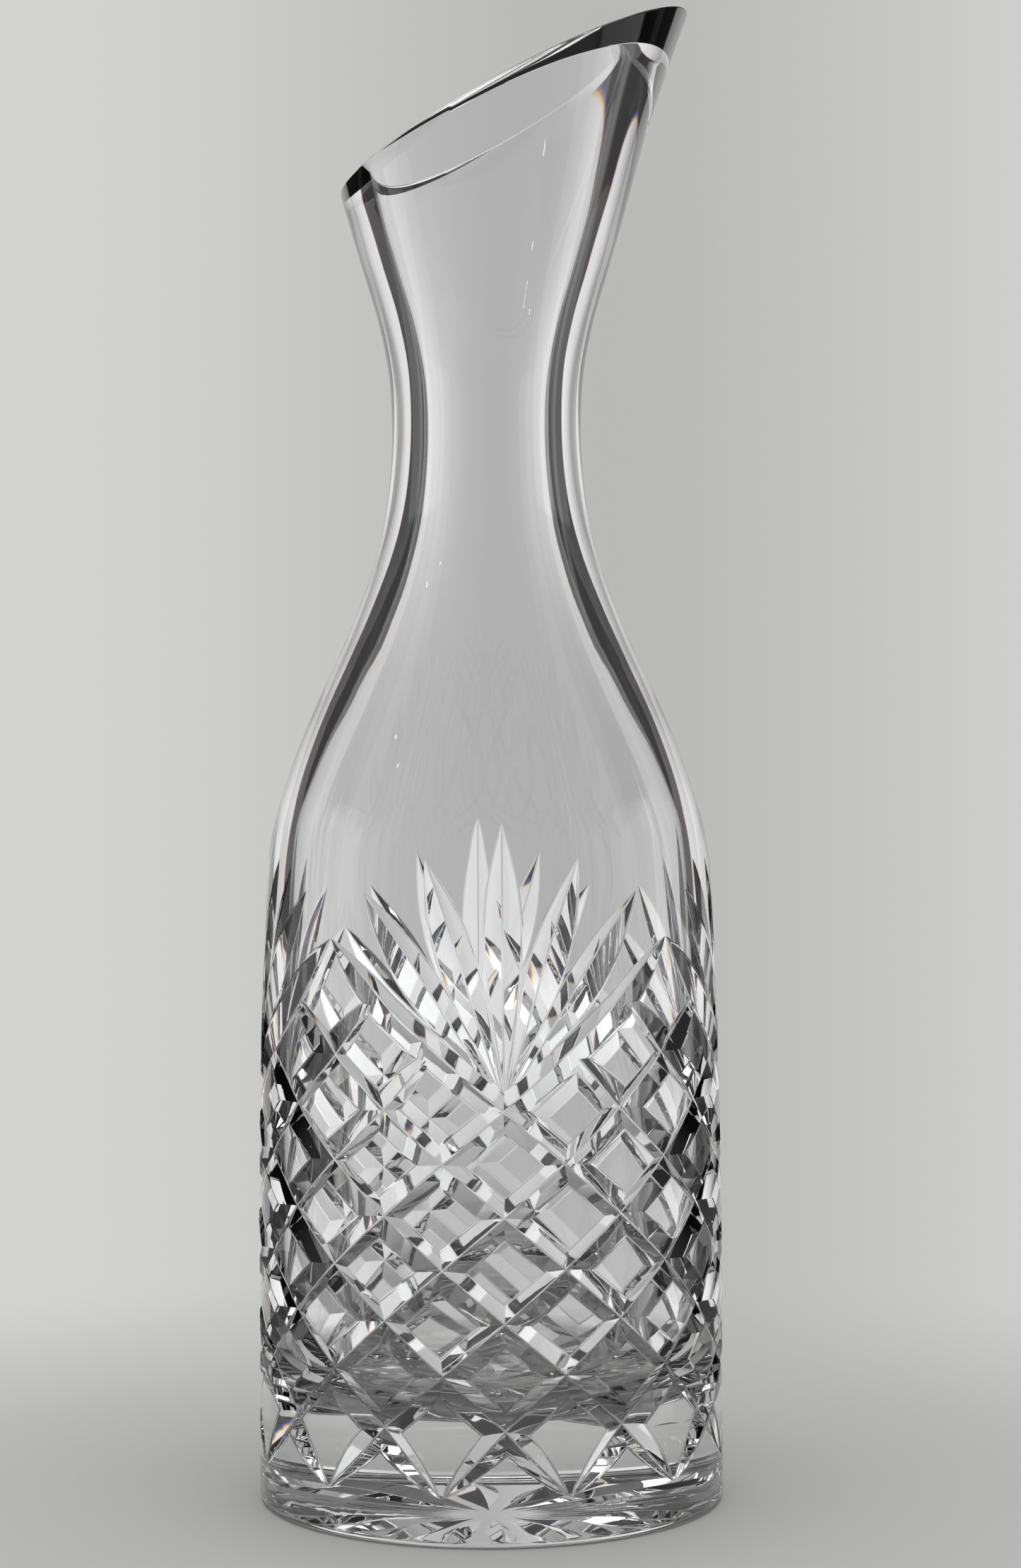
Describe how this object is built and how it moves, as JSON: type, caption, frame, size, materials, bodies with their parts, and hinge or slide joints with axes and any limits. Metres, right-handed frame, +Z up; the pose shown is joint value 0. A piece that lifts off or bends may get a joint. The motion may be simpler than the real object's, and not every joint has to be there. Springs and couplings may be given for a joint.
{
  "type": "wine decanter",
  "caption": "Clear cut-crystal wine carafe: heavy straight barrel with a diamond lattice and fans, slim neck and a flared mouth sliced on a slant.",
  "frame": {"origin": "centre of the base, on the surface that the decanter stands on", "axes": "+Z up along the barrel's axis, +X towards the high pouring lip of the slanted mouth, -Y the side seen with the lip on the right"},
  "size_m": [0.0948, 0.0948, 0.3036],
  "materials": {
    "crystal": "clear lead crystal, polished, with wheel-cut facets"
  },
  "bodies": {
    "root": {"crystal_body": "crystal"}
  },
  "joints": []
}
